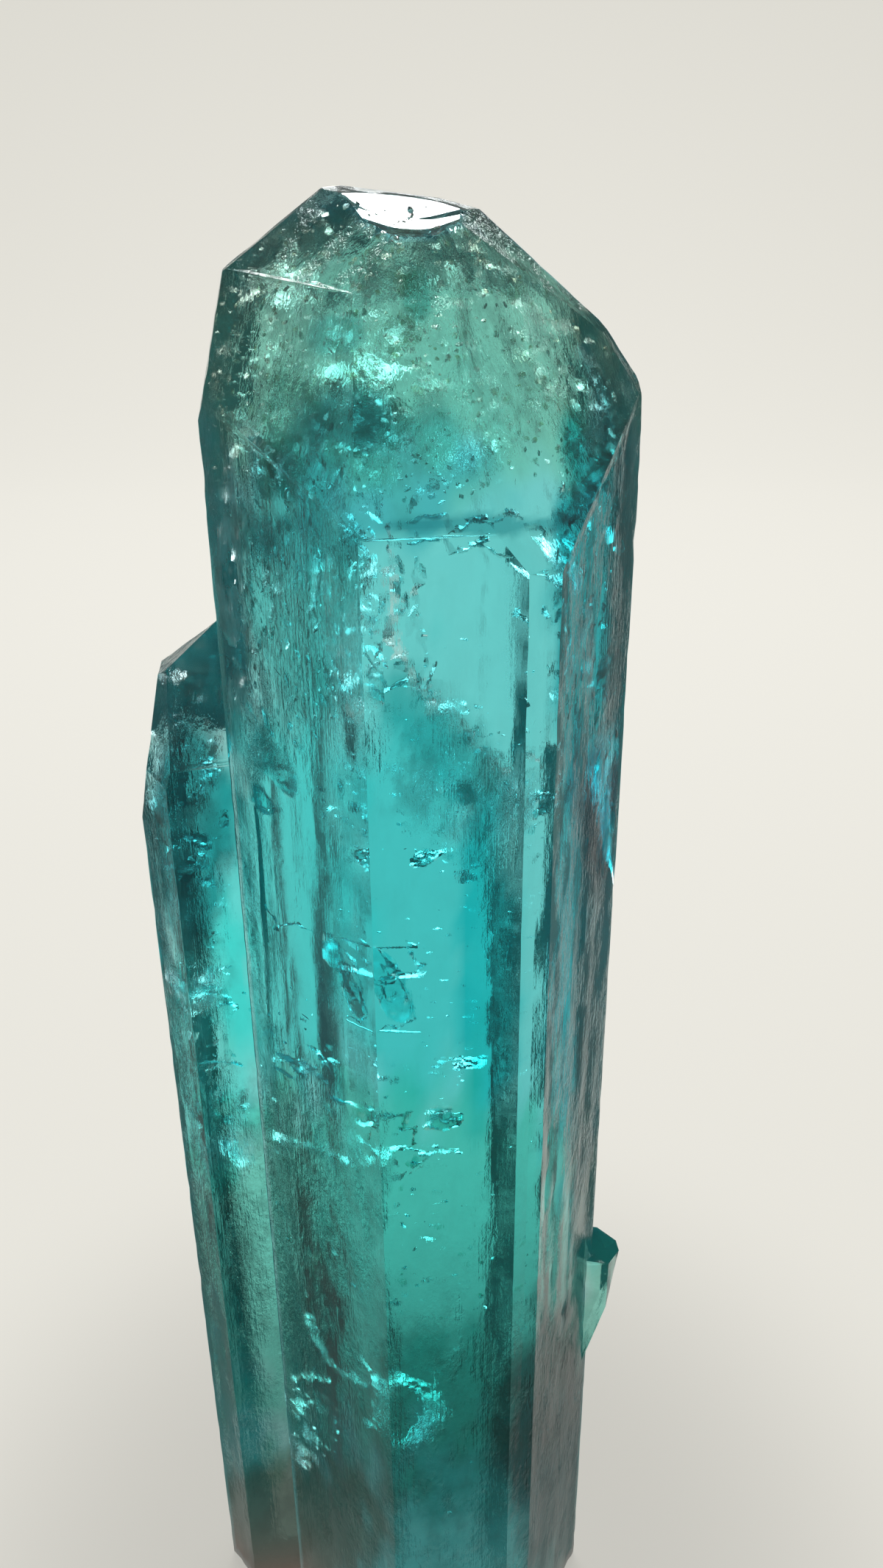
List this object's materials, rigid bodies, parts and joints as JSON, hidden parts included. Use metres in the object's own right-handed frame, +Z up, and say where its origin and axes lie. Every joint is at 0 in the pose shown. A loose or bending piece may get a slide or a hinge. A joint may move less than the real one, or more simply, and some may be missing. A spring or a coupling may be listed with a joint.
{
  "type": "aquamarine crystal",
  "caption": "Clear blue-green prismatic beryl crystal with a faceted, chipped tip, a shorter crystal grown along its side and a small bud, cut flat at the foot so it stands.",
  "frame": {"origin": "middle of the bounding box's underside, on the flat foot", "axes": "+Z up along the crystal's length; the pictured front faces -Y, with the shorter crystal on its -X side"},
  "size_m": [0.024, 0.0152, 0.0819],
  "materials": {
    "aquamarine": "clear blue-green crystal with glassy faces, fine growth lines, veils and healed cracks inside"
  },
  "bodies": {
    "root": {"aquamarine_crystal": "aquamarine"}
  },
  "joints": []
}
